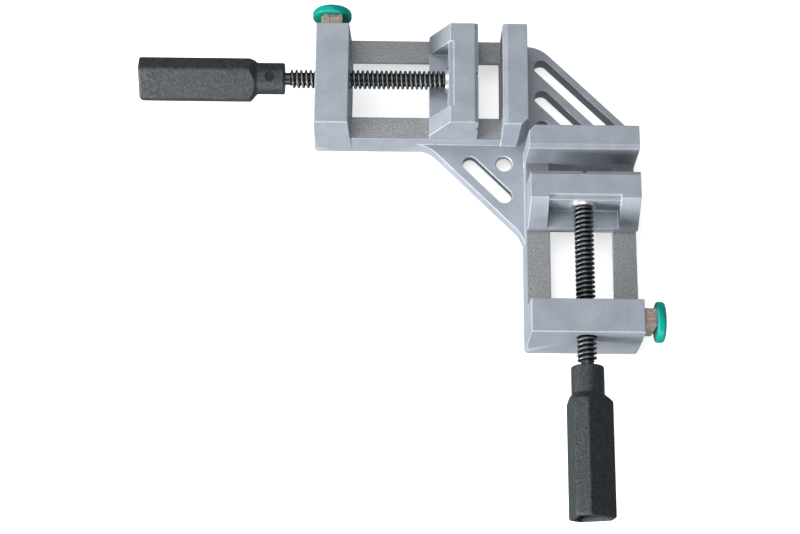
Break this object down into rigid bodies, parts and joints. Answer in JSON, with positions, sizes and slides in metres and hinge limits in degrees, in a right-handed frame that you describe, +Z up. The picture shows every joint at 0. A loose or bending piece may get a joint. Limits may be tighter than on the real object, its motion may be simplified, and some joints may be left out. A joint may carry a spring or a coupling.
{
  "type": "quick release right-angle clamping vise",
  "caption": "Right-angle clamping vise: an L-shaped casting with fixed jaws at the corner, screw-driven moving jaws on rails, faceted grips and push-button half nuts.",
  "frame": {"origin": "axis of the corner fixing hole, at the plane the base stands on", "axes": "+Z up from the bench; arm A runs along -X and arm B along -Y, and the two arms mirror each other in the plane X = Y"},
  "size_m": [0.3272, 0.3266, 0.0491],
  "materials": {
    "casting": "fine matte silver-grey coating, rail tops and block tops milled",
    "grip": "dark grey fine-textured powder coat",
    "black_steel": "black oxide, lightly oiled",
    "bright_steel": "bright zinc",
    "sintered": "sintered steel, mottled brown-grey",
    "button": "glossy moulded teal plastic"
  },
  "bodies": {
    "base": {"base_casting": "casting", "release_spring_a": "bright_steel", "release_spring_b": "bright_steel"},
    "jaw_a": {"moving_jaw_a": "casting", "keeper_plate_a": "bright_steel", "keeper_screws_a": "black_steel", "spindle_dowel_a": "bright_steel", "thrust_washer_a": "bright_steel"},
    "spindle_a": {"spindle_a": "black_steel", "handle_a": "grip", "handle_pin_a": "black_steel"},
    "release_a": {"release_slide_a": "sintered", "button_cap_a": "button"},
    "jaw_b": {"moving_jaw_b": "casting", "keeper_plate_b": "bright_steel", "keeper_screws_b": "black_steel", "spindle_dowel_b": "bright_steel", "thrust_washer_b": "bright_steel"},
    "spindle_b": {"spindle_b": "black_steel", "handle_b": "grip", "handle_pin_b": "black_steel"},
    "release_b": {"release_slide_b": "sintered", "button_cap_b": "button"}
  },
  "joints": [
    {"name": "jaw_a_slide", "type": "slide", "parent": "base", "child": "jaw_a", "axis": [1, 0, 0], "range_m": [-0.0494, 0.0155]},
    {"name": "spindle_a_turn", "type": "hinge", "parent": "jaw_a", "child": "spindle_a", "pos_m": [-0.14, 0.0475, 0.034], "axis": [1, 0, 0], "range_deg": [-5933, 1865]},
    {"name": "release_a_press", "type": "slide", "parent": "base", "child": "release_a", "axis": [0, -1, 0], "range_m": [0, 0.0036], "stiffness_N_per_m": 600, "springref_m": -0.004, "deforming": ["release_spring_a"]},
    {"name": "jaw_b_slide", "type": "slide", "parent": "base", "child": "jaw_b", "axis": [0, 1, 0], "range_m": [-0.05, 0.0149]},
    {"name": "spindle_b_turn", "type": "hinge", "parent": "jaw_b", "child": "spindle_b", "pos_m": [0.0475, -0.14, 0.034], "axis": [0, 1, 0], "range_deg": [-6005, 1793]},
    {"name": "release_b_press", "type": "slide", "parent": "base", "child": "release_b", "axis": [-1, 0, 0], "range_m": [0, 0.0036], "stiffness_N_per_m": 600, "springref_m": -0.004, "deforming": ["release_spring_b"]}
  ],
  "couplings": [
    {"joint": "spindle_a_turn", "follows": "jaw_a_slide", "rad_per_m": 2094.4},
    {"joint": "spindle_b_turn", "follows": "jaw_b_slide", "rad_per_m": 2094.4}
  ]
}
